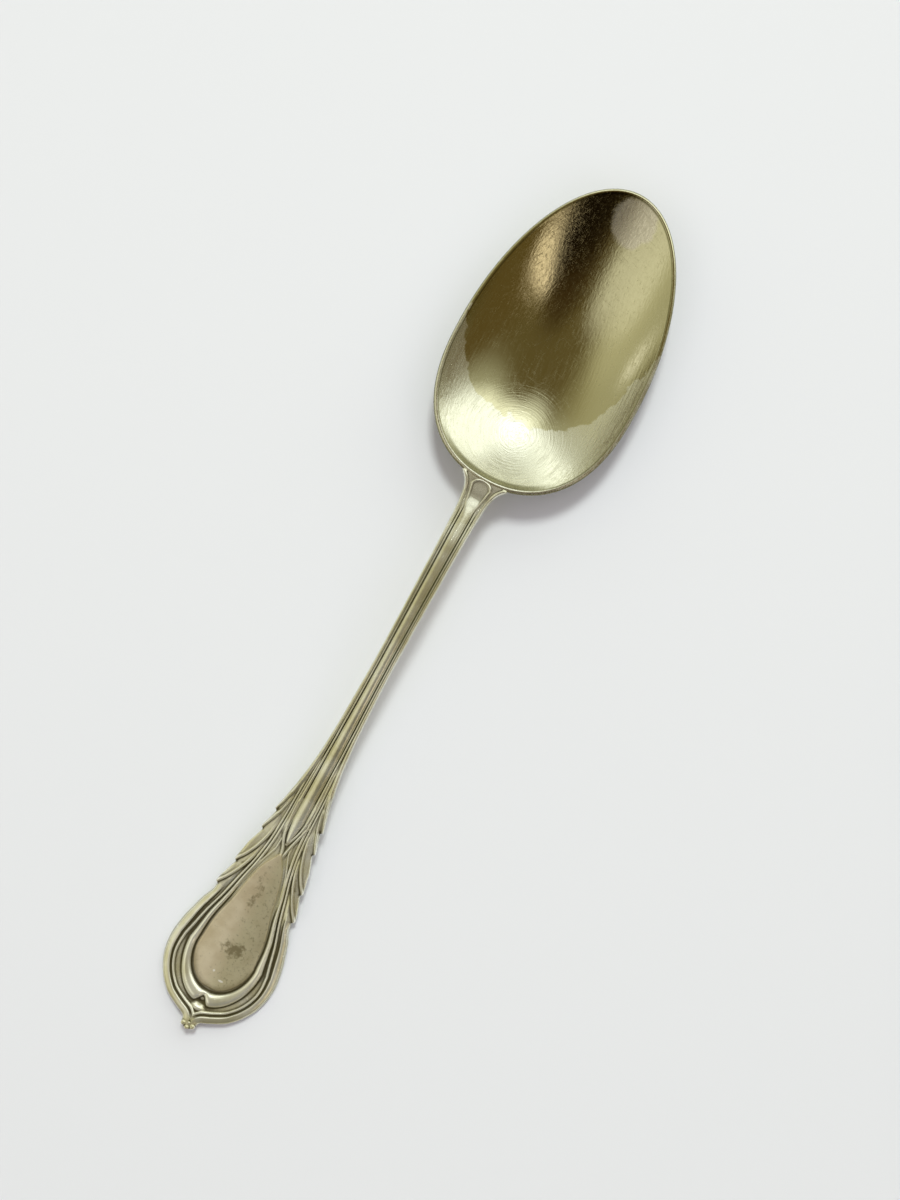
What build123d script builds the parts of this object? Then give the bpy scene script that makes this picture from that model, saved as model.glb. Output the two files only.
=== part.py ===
"""Table spoon with a reeded stem and a leaf-and-panel handle end.

The spoon lies on a table as it would in use: the bowl opens upwards (+Z), its tip
points along +Y, and the handle end lies towards -Y.  The origin is on the table,
under the middle of the spoon.  Millimetres throughout.
"""

import os

from build123d import *

# Lengths along the spoon
handle_length = 137.0  # handle's very end to the heel of the bowl
bowl_length = 73.0  # heel to tip, over the rim
bowl_heel_length = 30.0  # heel to the widest place of the bowl

# Bowl
bowl_width = 44.4
bowl_depth = 10.0  # rim to the inside's lowest point
bowl_wall = 1.3
rim_width = 1.0  # flat top edge
rim_heel_rise = 0.8  # how far the rim stands above its lowest place, at the heel
rim_tip_rise = 1.9  # the same at the tip
wear_flat_depth = 0.12  # worn off the bottom of the bowl, which leaves a flat to rest on
heel_fullness = 2.5  # exponents of the rounded heel of the outline, 2 is an ellipse
heel_squareness = 2.2

# Side view of the handle, from the table to its underside
toe_lift = 1.4  # the very end turns up a little
rest_from_end = 13.0  # where the handle end touches the table
panel_apex_lift = 3.2
arch_height = 10.6  # at the top of the arch
arch_from_heel = 31.0  # heel to the top of the arch

# Thicknesses of the handle
plate_thickness = 2.2
shank_thickness = 2.7  # where the leaves end
stem_thickness = 3.4  # at the top of the arch
neck_thickness = 2.7  # at the heel

# Handle end, in plan, measured from the handle's very end
plate_width = 26.0
plate_start = 1.8  # the rounded pip fills the length before this
pip_width = 4.0
widest_from_end = 16.5
leaves_start = 30.5
leaves_start_width = 19.8
plate_end = 57.0
leaf_tips = ((9.8, 31.8), (8.3, 38.5), (6.6, 47.0), (5.9, 52.0))  # half width, distance
leaf_notch = 0.7  # depth of the notch under each leaf tip
leaf_root = 2.4  # the leaves start this far inside the plate's edge

# Raised panel and the grooves round it
panel_start = 9.8
panel_apex = 44.5
panel_width = 14.4
panel_widest = 18.0
panel_seat = 0.5  # depth of the sunk field that the panel lies in
panel_crown = 0.4  # how far the panel stands above the plate's face
bead_gap = 0.6  # quirk between panel and bead
bead_width = 2.0
flange_groove = 1.4
groove_depth = 0.5

# Stem and neck
stem_width = 4.9
stem_root_width = 6.8  # at the leaves
neck_width = 6.0
neck_length = 9.0  # from the stem's end to the heel
shoulder_width = 11.0
reed_width = 0.7  # edge bead
reed_groove = 0.3
tongue_length = 12.0  # the neck runs on under the bowl this far
tongue_width = 5.6
tongue_step = 0.5  # the tongue stands this proud of the bowl's back

# Places worked out from the sizes above
end_y = -(handle_length + bowl_length) / 2
tip_y = -end_y
heel_y = end_y + handle_length
waist_y = heel_y + bowl_heel_length
rim_waist_height = bowl_depth + bowl_wall - wear_flat_depth
rim_heel_height = rim_waist_height + rim_heel_rise
inner_half_width = bowl_width / 2 - rim_width
section_radius = (inner_half_width**2 + bowl_depth**2) / (2 * bowl_depth)
arch_y = heel_y - arch_from_heel
shank_y = end_y + plate_end
stem_end_y = heel_y - neck_length
well_above = 3 * rim_waist_height  # clear of the whole spoon
under_table = Plane.XY.offset(-1)  # plans are drawn here and cut upwards
cut_height = well_above + 1
cutter_half_width = bowl_width  # wider than the whole spoon
trough_half_width = bowl_width / 2 + 0.5
tongue_y = heel_y + tongue_length
tongue_middle_y = heel_y + 0.6 * tongue_length


def rim_height(y):
    """Height of the rim: two parabolas that meet level at the widest place."""
    if y < waist_y:
        return rim_waist_height + rim_heel_rise * ((waist_y - y) / bowl_heel_length) ** 2
    tip_length = bowl_length - bowl_heel_length
    return rim_waist_height + rim_tip_rise * ((y - waist_y) / tip_length) ** 2


def signed_power(value, exponent):
    """A power that carries its base's sign, so the curves run on past the rim."""
    return abs(value) ** exponent * (1 if value > 0 else -1)


def outline_share(y, inset):
    """Square of the outline's half width at y, as a share of its largest."""
    if y < waist_y:
        reach = (waist_y - y) / (bowl_heel_length - inset)
        return signed_power(1 - reach**heel_fullness, 2 / heel_squareness)
    reach = (y - waist_y) / (bowl_length - bowl_heel_length - inset)
    return 1 - reach**2


def keel_height(y):
    """Lowest inside point of the bowl's cross-section at y.

    Each cross-section is the same circular arc, let down until it passes
    through the rim's inner edge.
    """
    half_width_squared = inner_half_width**2 * outline_share(y, rim_width)
    sag = section_radius - (section_radius**2 - half_width_squared) ** 0.5
    return rim_height(y) - sag


def trough_sections(radius):
    """D-shaped sections along the bowl, whose round side has this radius."""
    section_count = 12
    sections = []
    for step in range(section_count + 1):
        y = heel_y - 1 + (bowl_length + 2) * step / section_count
        centre_z = keel_height(y) + section_radius
        edge_z = centre_z - (radius**2 - trough_half_width**2) ** 0.5
        with BuildSketch(Plane.XZ.offset(-y)) as section:
            with BuildLine():
                round_side = ThreePointArc(
                    (-trough_half_width, edge_z),
                    (0, centre_z - radius),
                    (trough_half_width, edge_z),
                )
                Polyline(
                    round_side @ 1,
                    (trough_half_width, well_above),
                    (-trough_half_width, well_above),
                    round_side @ 0,
                )
            make_face()
        sections.append(section.sketch)
    return sections


def bowl_outline():
    """Egg-shaped plan of the bowl: a full heel and a half ellipse to the tip."""
    point_count = 8
    heel_points = []
    for step in range(1, point_count):
        # the points crowd towards the heel, where the outline turns quickest
        y = heel_y + bowl_heel_length * (step / point_count) ** 2
        heel_points.append((bowl_width / 2 * outline_share(y, 0) ** 0.5, y))
    with BuildSketch(under_table) as outline:
        with BuildLine():
            right = Spline(
                (0, heel_y),
                *heel_points,
                (bowl_width / 2, waist_y),
                tangents=((1, 0), (0, 1)),
            )
            EllipticalCenterArc(
                (0, waist_y),
                bowl_width / 2,
                bowl_length - bowl_heel_length,
                start_angle=0,
                arc_size=180,
            )
            mirror(right, about=Plane.YZ)
        make_face()
    return outline.sketch


# The space above the bowl's back: a trough with the bowl's outline
with BuildPart() as bowl_space:
    loft(trough_sections(section_radius + bowl_wall))
    extrude(bowl_outline(), amount=cut_height, mode=Mode.INTERSECT)

# Bowl: that space cut off along the rim, hollowed, and worn flat underneath
with BuildPart() as bowl:
    add(bowl_space.part)
    with BuildSketch(Plane.YZ):
        with BuildLine():
            rim_line = Spline(
                *[
                    (y, rim_height(y))
                    for y in (heel_y - 1, (heel_y + waist_y) / 2, waist_y)
                ],
                ((waist_y + tip_y) / 2, rim_height((waist_y + tip_y) / 2)),
                (tip_y + 1, rim_height(tip_y + 1)),
            )
            Polyline(rim_line @ 1, (tip_y + 1, 0), (heel_y - 1, 0), rim_line @ 0)
        make_face()
    extrude(amount=cutter_half_width, both=True, mode=Mode.INTERSECT)
    loft(trough_sections(section_radius), mode=Mode.SUBTRACT)


def underside_points():
    """Side view of the handle's underside, from its end to the tongue's end."""
    return [
        (end_y, toe_lift),
        (end_y + rest_from_end, 0),
        (end_y + panel_apex, panel_apex_lift),
        (arch_y, arch_height),
        (heel_y, rim_heel_height - neck_thickness),
        (tongue_middle_y, keel_height(tongue_middle_y) - bowl_wall - tongue_step),
        (tongue_y, keel_height(tongue_y) - bowl_wall - tongue_step),
    ]


def topside_points(drop):
    """Side view of the handle's face, lowered by drop."""
    return [
        (end_y, toe_lift + plate_thickness - drop),
        (end_y + rest_from_end, plate_thickness - drop),
        (end_y + panel_apex, panel_apex_lift + shank_thickness - drop),
        (arch_y, arch_height + stem_thickness - drop),
        (heel_y, rim_heel_height - drop),
    ]


def handle_band(low_line, high_line):
    """Side view of a slab between two lines along the handle."""
    with BuildSketch(Plane.YZ) as side_view:
        with BuildLine():
            low = Spline(*low_line)
            high = Spline(*high_line)
            Line(low @ 0, high @ 0)
            Line(low @ 1, high @ 1)
        make_face()
    return side_view.sketch


# The bent blank of the whole handle, before it is cut to its outline
with BuildPart() as blank:
    blank_top = topside_points(0) + [(tongue_y, rim_heel_height)]
    extrude(handle_band(underside_points(), blank_top), amount=cutter_half_width, both=True)

# What is cut from the face to make grooves and the panel's seat
with BuildPart() as groove_layer:
    groove_view = handle_band(topside_points(groove_depth), topside_points(-1))
    extrude(groove_view, amount=cutter_half_width, both=True)

with BuildPart() as seat_layer:
    seat_view = handle_band(topside_points(panel_seat), topside_points(-panel_crown))
    extrude(seat_view, amount=cutter_half_width, both=True)


def plate_outline():
    """Plan of the handle end: an ogee, a full round and the notched leaves."""
    with BuildSketch(under_table) as outline:
        with BuildLine():
            swell = Spline(
                (pip_width / 2, end_y + plate_start),
                (plate_width * 0.33, end_y + widest_from_end * 0.34),
                (plate_width / 2, end_y + widest_from_end),
                (leaves_start_width / 2, end_y + leaves_start),
            )
            start = swell @ 1
            for half_width, distance in leaf_tips:
                leaf_tip = Vector(half_width, end_y + distance)
                notch = (start + leaf_tip) / 2 - Vector(leaf_notch / 2, 0)
                leaf_edge = ThreePointArc(start, notch, leaf_tip)
                foot = leaf_tip + Vector(-leaf_notch, leaf_notch / 2)
                Line(leaf_edge @ 1, foot)
                start = foot
            Polyline(start, (stem_root_width / 2, shank_y), (0, shank_y))
            Line(swell @ 0, (0, end_y + plate_start))
            mirror(about=Plane.YZ)
        make_face()
    return outline.sketch


def panel_outline(margin=0):
    """Teardrop plan of the panel, or of a line that keeps this far outside it."""
    foot_length = panel_widest - panel_start + margin
    taper_length = panel_apex - panel_widest
    half_width = panel_width / 2 + margin
    with BuildSketch(under_table) as outline:
        with BuildLine():
            foot = EllipticalCenterArc(
                (0, end_y + panel_widest),
                half_width,
                foot_length,
                start_angle=180,
                arc_size=180,
            )
            side = Spline(
                foot @ 1,
                (half_width - panel_width * 0.15, end_y + panel_widest + taper_length * 0.45),
                (0, end_y + panel_apex + margin * 2),
                tangents=((0, 1), (-1, 2)),
            )
            mirror(side, about=Plane.YZ)
        make_face()
    return outline.sketch


def panel_ring(inner, outer):
    """Plan of a groove that follows the panel, between two distances outside its edge."""
    with BuildSketch(under_table) as ring:
        add(panel_outline(outer))
        add(panel_outline(inner), mode=Mode.SUBTRACT)
        with Locations((0, end_y)):
            Rectangle(
                plate_width,
                leaves_start,
                align=(Align.CENTER, Align.MIN),
                mode=Mode.INTERSECT,
            )
    return ring.sketch


def core_outline():
    """Plan of the plate inside the leaves: they start at this line."""
    with BuildSketch(under_table) as outline:
        with BuildLine():
            edge = Polyline(
                (leaves_start_width / 2 - leaf_root, shank_y - (plate_end - leaves_start)),
                (stem_root_width / 2 - 0.4, shank_y),
            )
            Polyline(edge @ 1, (0, shank_y), (0, end_y), (plate_width, end_y))
            Line((plate_width, end_y), (plate_width, end_y + leaves_start))
            Line((plate_width, end_y + leaves_start), edge @ 0)
            mirror(about=Plane.YZ)
        make_face()
    return outline.sketch


# Tools for cutting the face of the handle
with BuildPart() as face_grooves:
    bead_outside = bead_gap + bead_width
    extrude(panel_ring(bead_outside, bead_outside + flange_groove), amount=cut_height)
    extrude(panel_ring(0, bead_gap), amount=cut_height)
    add(groove_layer.part, mode=Mode.INTERSECT)

with BuildPart() as core:
    extrude(core_outline(), amount=cut_height)

with BuildPart() as pip_round:
    with BuildSketch(under_table):
        with Locations((0, end_y + pip_width / 2)):
            Circle(pip_width / 2)
    extrude(amount=cut_height)

# Name panel: the teardrop raised from the middle of the handle end
with BuildPart() as name_panel:
    extrude(panel_outline(), amount=cut_height)
    add(seat_layer.part, mode=Mode.INTERSECT)

# Handle plate: the flat end inside the leaves, with a seat for the panel
with BuildPart() as handle_plate:
    extrude(plate_outline(), amount=cut_height)
    add(core.part, mode=Mode.INTERSECT)
    add(blank.part, mode=Mode.INTERSECT)
    add(pip_round.part, mode=Mode.SUBTRACT)
    add(face_grooves.part, mode=Mode.SUBTRACT)
    add(name_panel.part, mode=Mode.SUBTRACT)

# Leaf spray: the overlapping leaves on both edges, one solid on each side
with BuildPart() as leaf_spray:
    extrude(plate_outline(), amount=cut_height)
    add(core.part, mode=Mode.SUBTRACT)
    add(blank.part, mode=Mode.INTERSECT)

# End pip: the small round that finishes the handle
with BuildPart() as end_pip:
    add(pip_round.part)
    add(blank.part, mode=Mode.INTERSECT)


def stem_outline():
    """Plan of the stem: it narrows from the leaves and widens to the neck."""
    middle_y = (shank_y + stem_end_y) / 2
    with BuildSketch(under_table) as outline:
        with BuildLine():
            side = Spline(
                (stem_root_width / 2, shank_y),
                (stem_width / 2, middle_y),
                (neck_width / 2, stem_end_y),
                tangents=((-0.06, 1), (0.06, 1)),
            )
            Line(side @ 0, (0, shank_y))
            Line(side @ 1, (0, stem_end_y))
            mirror(about=Plane.YZ)
        make_face()
    return outline.sketch


def neck_outline():
    """Plan of the neck: shoulders at the heel, then a round tongue beneath."""
    with BuildSketch(under_table) as outline:
        with BuildLine():
            shoulder = Spline(
                (neck_width / 2, stem_end_y),
                (shoulder_width / 2, heel_y + 0.6),
                tangents=((0.06, 1), (1, 1)),
            )
            side = Line(shoulder @ 1, (tongue_width / 2, heel_y + tongue_width / 2))
            straight = Line(side @ 1, (tongue_width / 2, tongue_y - tongue_width / 2))
            RadiusArc(straight @ 1, (0, tongue_y), -tongue_width / 2)
            Line(shoulder @ 0, (0, stem_end_y))
            mirror(about=Plane.YZ)
        make_face()
    return outline.sketch


# Stem: the narrow arched bar, with its reeds
with BuildPart() as stem_reeds:
    outer_groove_x = stem_width / 2 - reed_width - reed_groove / 2
    inner_groove_x = outer_groove_x - reed_groove - reed_width / 2
    with BuildSketch(under_table):
        for groove_x in (-outer_groove_x, -inner_groove_x, inner_groove_x, outer_groove_x):
            with Locations((groove_x, shank_y)):
                Rectangle(
                    reed_groove,
                    stem_end_y - shank_y,
                    align=(Align.CENTER, Align.MIN),
                )
    extrude(amount=cut_height)
    add(groove_layer.part, mode=Mode.INTERSECT)

with BuildPart() as stem:
    extrude(stem_outline(), amount=cut_height)
    add(blank.part, mode=Mode.INTERSECT)
    add(stem_reeds.part, mode=Mode.SUBTRACT)

# Neck: the stem's foot, which meets the heel of the bowl and runs on beneath it
with BuildPart() as neck:
    extrude(neck_outline(), amount=cut_height)
    add(blank.part, mode=Mode.INTERSECT)
    add(bowl_space.part, mode=Mode.SUBTRACT)

nodes = {
    "bowl": bowl,
    "neck": neck,
    "stem": stem,
    "leaf_spray": leaf_spray,
    "handle_plate": handle_plate,
    "name_panel": name_panel,
    "end_pip": end_pip,
}

os.makedirs("parts", exist_ok=True)
for name, node in nodes.items():
    node.part.label = name
    export_step(node.part, f"parts/{name}.step")
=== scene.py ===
# %% [markdown]
# # An old table spoon
#
# The spoon was struck between two steel dies from one blank of nickel silver, its bowl was
# sunk in a press, and it was plated. A hundred years of use have rounded its edges, worn the
# plate and left dark tarnish in the hollows.
#
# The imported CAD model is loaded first. It says where everything is, in metres.

# %% Load the frame
import math

import bmesh
import bpy
import numpy as np
from mathutils import Matrix, Vector


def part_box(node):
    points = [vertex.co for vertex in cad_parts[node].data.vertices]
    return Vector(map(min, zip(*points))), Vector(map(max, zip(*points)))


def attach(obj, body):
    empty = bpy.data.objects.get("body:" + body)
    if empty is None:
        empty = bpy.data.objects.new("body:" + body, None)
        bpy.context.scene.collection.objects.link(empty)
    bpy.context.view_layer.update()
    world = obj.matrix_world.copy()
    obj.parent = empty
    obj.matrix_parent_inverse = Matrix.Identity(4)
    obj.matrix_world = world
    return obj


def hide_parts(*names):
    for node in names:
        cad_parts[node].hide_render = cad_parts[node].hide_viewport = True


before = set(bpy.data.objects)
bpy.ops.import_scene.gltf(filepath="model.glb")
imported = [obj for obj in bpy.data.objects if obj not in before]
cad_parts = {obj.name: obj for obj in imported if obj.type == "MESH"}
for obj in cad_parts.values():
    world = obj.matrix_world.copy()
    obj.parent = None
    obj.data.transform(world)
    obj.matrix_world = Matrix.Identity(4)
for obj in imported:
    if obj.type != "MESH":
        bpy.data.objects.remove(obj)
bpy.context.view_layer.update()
MM = 0.001

# %% [markdown]
# ## Where the spoon's zones begin and end
#
# A place on the spoon is `x`, across it, and `d`, the distance from the handle's very end,
# in millimetres. The CAD nodes say where the zones meet, so that no surface drifts away.


# %% Read the places from the frame
def low_mm(node):
    """Lowest corner of a CAD node, in millimetres."""
    return np.array(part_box(node)[0]) / MM


def high_mm(node):
    """Highest corner, the same way."""
    return np.array(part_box(node)[1]) / MM


end_y = low_mm("end_pip")[1]
plate_end = high_mm("handle_plate")[1] - end_y
neck_start = low_mm("neck")[1] - end_y
heel = low_mm("bowl")[1] - end_y
tip = high_mm("bowl")[1] - end_y
bowl_half_width = high_mm("bowl")[0]
rim_tip_height = high_mm("bowl")[2]
arch_top = high_mm("stem")[2]
print(f"plate ends {plate_end:.1f}, neck {neck_start:.1f}, heel {heel:.1f}, tip {tip:.1f} mm")

# %% [markdown]
# ## Small tools for shaping
#
# Everything on the handle is a height above a smooth arch, so a few rounded steps, beads and
# lines are enough to draw the die. Each tool works on whole arrays at once.


# %% Shaping tools
def smooth_step(low, high, value):
    """0 below low, 1 above high, and 3t^2 - 2t^3 between them."""
    t = np.clip((value - low) / (high - low), 0, 1)
    return t * t * (3 - 2 * t)


def bead(offset, half_width):
    """Half-round moulding: sqrt(1 - t^2) across its width, 0 outside it."""
    t = offset / half_width
    return np.sqrt(np.clip(1 - t * t, 0, 1))


def hump(offset, half_width):
    """Soft ridge: (1 - t^2)^2 across its width, 0 outside it."""
    t = offset / half_width
    return np.clip(1 - t * t, 0, 1) ** 2


def through(stations, values, at):
    """Smooth line through values at stations: a cubic between each pair, with the slope at
    a station taken from its neighbours."""
    stations, values = np.asarray(stations, float), np.asarray(values, float)
    slopes = np.gradient(values, stations)
    i = np.clip(np.searchsorted(stations, at) - 1, 0, len(stations) - 2)
    step = stations[i + 1] - stations[i]
    t = np.clip((at - stations[i]) / step, 0, 1)
    start = (2 * t**3 - 3 * t**2 + 1) * values[i] + (t**3 - 2 * t**2 + t) * step * slopes[i]
    return start + (3 * t**2 - 2 * t**3) * values[i + 1] + (t**3 - t**2) * step * slopes[i + 1]


def smooth_path(points, count=28):
    """A curve of many short runs through a few (x, d) points."""
    points = np.array(points, float)
    run = np.arange(len(points), dtype=float)
    at = np.linspace(0, len(points) - 1, count)
    return np.stack([through(run, points[:, 0], at), through(run, points[:, 1], at)], axis=1)


def path_offset(x, d, path):
    """Distance from each place to the path, its side (+1 is left of the path's direction),
    and how far along the path the nearest point is, from 0 to 1."""
    best = np.full(np.shape(x), 1e9)
    side = np.ones(np.shape(x))
    along = np.zeros(np.shape(x))
    for k in range(len(path) - 1):
        (ax, ad), (bx, bd) = path[k], path[k + 1]
        run_x, run_d = bx - ax, bd - ad
        length2 = run_x**2 + run_d**2 + 1e-12
        t = np.clip(((x - ax) * run_x + (d - ad) * run_d) / length2, 0, 1)
        gap = np.hypot(x - ax - t * run_x, d - ad - t * run_d)
        nearer = gap < best
        best = np.where(nearer, gap, best)
        turn = run_x * (d - ad) - run_d * (x - ax)
        side = np.where(nearer, np.sign(turn), side)
        along = np.where(nearer, (k + t) / (len(path) - 1), along)
    return best, side, along


# %% [markdown]
# ## The side view: one arch for the whole handle
#
# A spoon lying on its back touches the table under the bowl and near the handle's end, and
# the stem springs up between them. The arch is two lines, the face and the back.

# %% Side view of the handle
side_stations = [0, 13, 44.5, heel - 31, heel]
back_heights = [1.4, 0.0, 3.2, arch_top - 3.4, low_mm("neck")[2] + 6.3]
thicknesses = [2.2, 2.2, 2.7, 3.4, 2.7]
rim_heel_height = back_heights[-1] + thicknesses[-1]


def arch_back(d):
    """Height of the handle's underside at d."""
    return through(side_stations, back_heights, d)


def arch_face(d):
    """Height of the handle's face at d, before the die's pattern."""
    return through(side_stations, np.add(back_heights, thicknesses), d)


# %% [markdown]
# ## The outline seen from above
#
# The end is a small pip that swells to a full round. Above it, leaves overlap up the edges
# and each leaf's tip stands out a little, so the outline is a smooth taper with a few saw
# teeth. Then come the slim stem, the neck's shoulders and the tongue under the bowl.

# %% Outline of the handle
swell_end = 29.5
outline_stations = [0, 0.35, 1.0, 1.7, 2.3, 3.2, 4.6, 6.5, 9, 12, 16, 20, 25, swell_end]
outline_widths = [0.05, 1.25, 1.75, 1.8, 2.3, 4.3, 7.0, 9.2, 11.1, 12.4, 13.0, 12.6, 11.3, 9.9]
leaf_tips = [(9.9, 31.6), (8.55, 38.0), (6.75, 47.2), (6.0, 52.2)]
leaves_end = leaf_tips[-1][1]
tongue_start = heel + 0.4
tongue_end = heel + 12
shank_stations = [leaves_end, 57, 62, 68, 76, 86, 106, 116, 124, 129, 132, 134, 136, tongue_start]
shank_widths = [6.0, 4.85, 3.95, 3.2, 2.7, 2.4, 2.38, 2.55, 2.72, 2.9, 3.1, 3.45, 4.35, 5.6]
tongue_stations = [tongue_start, heel + 3, heel + 8, heel + 11.6, tongue_end]
tongue_widths = [5.6, 4.0, 2.7, 0.9, 0.0]
tooth = 0.7
tooth_length = 4.6


def full_width(d):
    """Half width at d without the saw teeth: swelling end, leaves, shank and tongue."""
    swell = through(outline_stations, outline_widths, d)
    shank = through(shank_stations, shank_widths, d)
    tongue = through(tongue_stations, tongue_widths, d)
    tips = np.array([(outline_widths[-1], swell_end)] + leaf_tips)
    leaves = np.interp(d, tips[:, 1], tips[:, 0])
    width = np.where(d < swell_end, swell, np.where(d < leaves_end, leaves, shank))
    return np.where(d > tongue_start, tongue, width)


def tooth_cut(d):
    """How far the outline steps in just below each leaf tip, easing out to nothing."""
    cut = np.zeros(np.shape(d))
    for _, tip_d in leaf_tips:
        below = tip_d - d
        ease = 1 - np.clip(below / tooth_length, 0, 1)
        cut = cut + tooth * smooth_step(0, 0.55, below) * ease
    return cut


def half_width(d):
    """Half width of the handle at d: the full width less the saw teeth."""
    return full_width(d) - tooth_cut(d)


print("half widths", [round(float(half_width(np.array(v))), 2) for v in (5, 16, 31, 47, 90, 135)])

# %% [markdown]
# ## The die of the handle end
#
# The pattern is a height above or below the plain face. Round the end, lines keep their
# distance from the outline or the panel; higher up, they gather into the stem's reeds. An
# image could displace the face too, but lines drawn by formula stay crisp and scale.

# %% Lines of the pattern
panel_half_width = 7.1
panel_centre = 18.0
panel_foot = 8.2
panel_apex = 44.3
ground = -0.42
rib_start = 46.5
line_stations = [panel_centre, 25, 30, 35, 40, 45, 50, 57, 64, 72]


def panel_edge(d):
    """Half width of the teardrop panel at d: half an ellipse below, an easy taper above."""
    below = panel_half_width * np.sqrt(np.clip(1 - ((panel_centre - d) / panel_foot) ** 2, 0, 1))
    stations = [panel_centre, 25, 30, 35, 40, panel_apex]
    above = through(stations, [panel_half_width, 6.35, 5.0, 3.95, 2.55, 0.0], d)
    return np.where(d < panel_centre, below, np.where(d < panel_apex, above, 0))


def inner_bead_line(d):
    """Half width at which the bead beside the panel runs, above the panel's centre."""
    return through(line_stations, [8.25, 7.3, 6.0, 4.95, 3.75, 2.95, 2.6, 2.5, 2.25, 2.0], d)


def outer_bead_line(d):
    """Half width at which the thin outer bead runs, above the panel's centre."""
    return through(line_stations, [10.2, 8.6, 7.05, 5.8, 4.5, 3.65, 3.3, 3.1, 2.8, 2.35], d)


def flange_line(d):
    """Half width of the flange's inner edge, above the panel's centre."""
    return through(line_stations[:6], [11.1, 9.6, 8.0, 7.0, 5.7, 4.5], d)


swell_d = np.concatenate([np.linspace(0.02, 8, 60), np.linspace(8.2, 30, 60)])
swell_outline = np.stack([through(outline_stations, outline_widths, swell_d), swell_d], axis=1)

leaf_edges = [
    [(2.9, 67), (3.4, 61.5), (4.2, 57.5), (5.1, 54.6), (5.95, 52.3)],
    [(3.1, 61), (3.8, 55.6), (4.7, 52), (5.8, 49.2), (6.7, 47.3)],
    [(3.4, 53), (4.1, 47.8), (5.3, 43.6), (6.8, 40.4), (8.45, 38.1)],
    [(3.9, 46.5), (4.9, 41.2), (6.4, 37.2), (8.1, 34.0), (9.8, 31.7)],
]
cross_tails = [
    [(-2.15, 58), (-2.0, 52), (-1.45, 48), (-0.3, 45.2), (0.1, 43), (0.15, 40.6)],
    [(2.1, 58), (1.95, 53), (1.55, 50), (0.7, 47.6), (0.0, 46.2)],
    [(2.75, 52), (2.1, 49.6), (1.35, 46.8), (0.95, 45), (0.55, 43.1)],
]

# the ovals on both sides of the wide bead: half width and reach below the panel's centre
inner_oval = (7.39, 8.9)
outer_oval = (9.11, 12.1)

# %% [markdown]
# Worn dies and a century of polishing leave nothing sharp, so every bead is half-round. The
# four leaf edges on each side are ridges with a terrace falling away on the inner side,
# like slates on a roof.


# %% Heights of the die
def end_mouldings(x, d):
    """Round end, d below about 30: flange, thin bead, wide bead, heart and the pip's knobs.

    The wide bead is a half circle between two ovals round the panel, the outer one pinched
    to a point on the middle line. The others keep a constant distance from the outline.
    """
    across = np.abs(x)
    to_edge, _, _ = path_offset(across, d, swell_outline)
    side = smooth_step(panel_centre - 6, panel_centre + 4, d)
    down = np.clip(panel_centre - d, 0, None)
    pinch = 2.0 * np.exp(-((across / 1.05) ** 2)) * smooth_step(5, 9, down)
    # each oval's mean radius, 8 and 10 mm, turns a share of the oval into millimetres
    gap_in = (np.hypot(across / inner_oval[0], down / inner_oval[1]) - 1) * 8
    gap_out = (1 - np.hypot(across / outer_oval[0], (down + pinch) / outer_oval[1])) * 10
    between = (gap_in - gap_out) / np.maximum(np.abs(gap_in) + np.abs(gap_out), 1e-6)
    inside = (gap_in > 0) & (gap_out > 0)
    low_bead = np.where(inside, np.sqrt(np.clip(1 - between**2, 0, 1)), 0)
    low_bead = low_bead * (1 - 0.4 * np.exp(-((across / 0.8) ** 2)) * smooth_step(5, 9, down))
    bead_width = 1.08 - 0.5 * smooth_step(13, 24, d) - 0.1 * smooth_step(24, 32, d)
    high_bead = bead(across - inner_bead_line(d), bead_width)
    wide_bead = np.where(d < panel_centre, low_bead, high_bead)
    thin_gap = to_edge - 2.35
    thin_gap = thin_gap * (1 - side) + (outer_bead_line(d) - across) * side
    flange_gap = to_edge * (1 - side) + (half_width(d) - across) * side
    flange_edge = 1.72 * (1 - side) + (half_width(d) - flange_line(d)) * side
    height = np.full(np.shape(x), ground)
    height += 0.95 * wide_bead
    height = np.maximum(height, ground + 0.4 * bead(thin_gap, 0.3))
    inner_step = 1 - smooth_step(flange_edge - 0.3, flange_edge, flange_gap)
    outward = np.clip(1 - flange_gap / flange_edge, 0, 1)
    flange = ground + (0.66 - 0.2 * outward - 0.42 * outward**3) * inner_step
    height = np.maximum(height, flange)
    # a dark pocket under the point, a raised heart below it, and three knobs on the pip
    pocket = hump(np.hypot(x / 1.7, (d - 6.5) / 0.95), 1.0)
    height = height - 0.42 * pocket * (to_edge > 1.7)
    heart = hump(np.hypot(x / 2.3, (d - 5.0) / 0.85), 1.0)
    height = height + 0.34 * heart * (to_edge > 1.5)
    for knob_x, knob_d in ((-1.15, 0.95), (0.0, 0.3), (1.15, 0.95)):
        knob = bead(np.hypot(x - knob_x, d - knob_d), 0.6)
        height = np.where(knob > 0, np.maximum(height, 0.02 + 0.42 * knob), height)
    return height


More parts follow.
